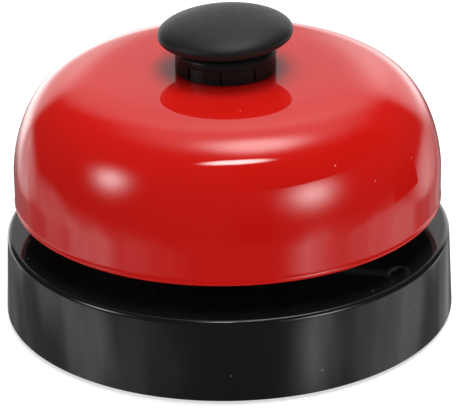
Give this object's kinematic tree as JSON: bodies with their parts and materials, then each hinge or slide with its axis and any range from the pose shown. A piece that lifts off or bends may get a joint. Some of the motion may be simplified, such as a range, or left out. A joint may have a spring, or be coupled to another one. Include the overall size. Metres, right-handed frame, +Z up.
{
  "type": "counter call bell",
  "caption": "Push-button counter call bell: a lacquered steel dome on a round black base, with a plunger and lever hammer inside.",
  "frame": {"origin": "centre of the plane that the rubber feet rest on, below the push button", "axes": "+Z up along the plunger and the dome's axis; +X from the plunger towards the hammer head; the hammer's pivot pin lies along Y"},
  "size_m": [0.085, 0.085, 0.0584],
  "materials": {
    "base_gloss": "moulded gloss black",
    "cover_steel": "zinc-plated pressed steel",
    "zinc_steel": "zinc plated",
    "bright_steel": "ground bright steel",
    "spring_steel": "drawn spring wire",
    "brass": "turned brass",
    "fibre": "pressed fibre",
    "white_nylon": "natural nylon",
    "foot_rubber": "matt moulded rubber",
    "red_lacquer": "high-gloss lacquer",
    "neck_black": "satin black",
    "button_satin": "fine satin black"
  },
  "bodies": {
    "base": {"base_shell": "base_gloss", "bottom_cover": "cover_steel", "cover_screws": "zinc_steel", "rubber_feet": "foot_rubber", "bridge_frame": "zinc_steel", "frame_screws": "zinc_steel", "centre_post": "zinc_steel", "post_lock_washer": "spring_steel", "post_nut": "zinc_steel", "guide_bush": "brass", "dome_seat_washer": "fibre", "gong_dome": "red_lacquer", "dome_collar": "neck_black", "dome_ring_nut": "neck_black", "return_spring": "spring_steel", "hammer_pivot_pin": "bright_steel", "pivot_clip": "spring_steel", "pivot_spacers": "brass", "hammer_spring": "spring_steel"},
    "plunger": {"push_button": "button_satin", "button_insert": "brass", "plunger_rod": "bright_steel", "rod_clip": "spring_steel", "stop_washer": "fibre", "pusher_tip": "white_nylon"},
    "hammer": {"hammer_lever": "zinc_steel", "hammer_head": "bright_steel"}
  },
  "joints": [
    {"name": "button_press", "type": "slide", "parent": "base", "child": "plunger", "axis": [0, 0, -1], "range_m": [0, 0.00297], "stiffness_N_per_m": 600, "springref_m": -0.004, "deforming": ["return_spring"]},
    {"name": "hammer_swing", "type": "hinge", "parent": "base", "child": "hammer", "pos_m": [0.0065, 0, 0.0246], "axis": [0, -1, 0], "range_deg": [0, 26.41], "deforming": ["hammer_spring"]}
  ],
  "couplings": [
    {"joint": "hammer_swing", "follows": "button_press", "rad_per_m": 155.14}
  ]
}
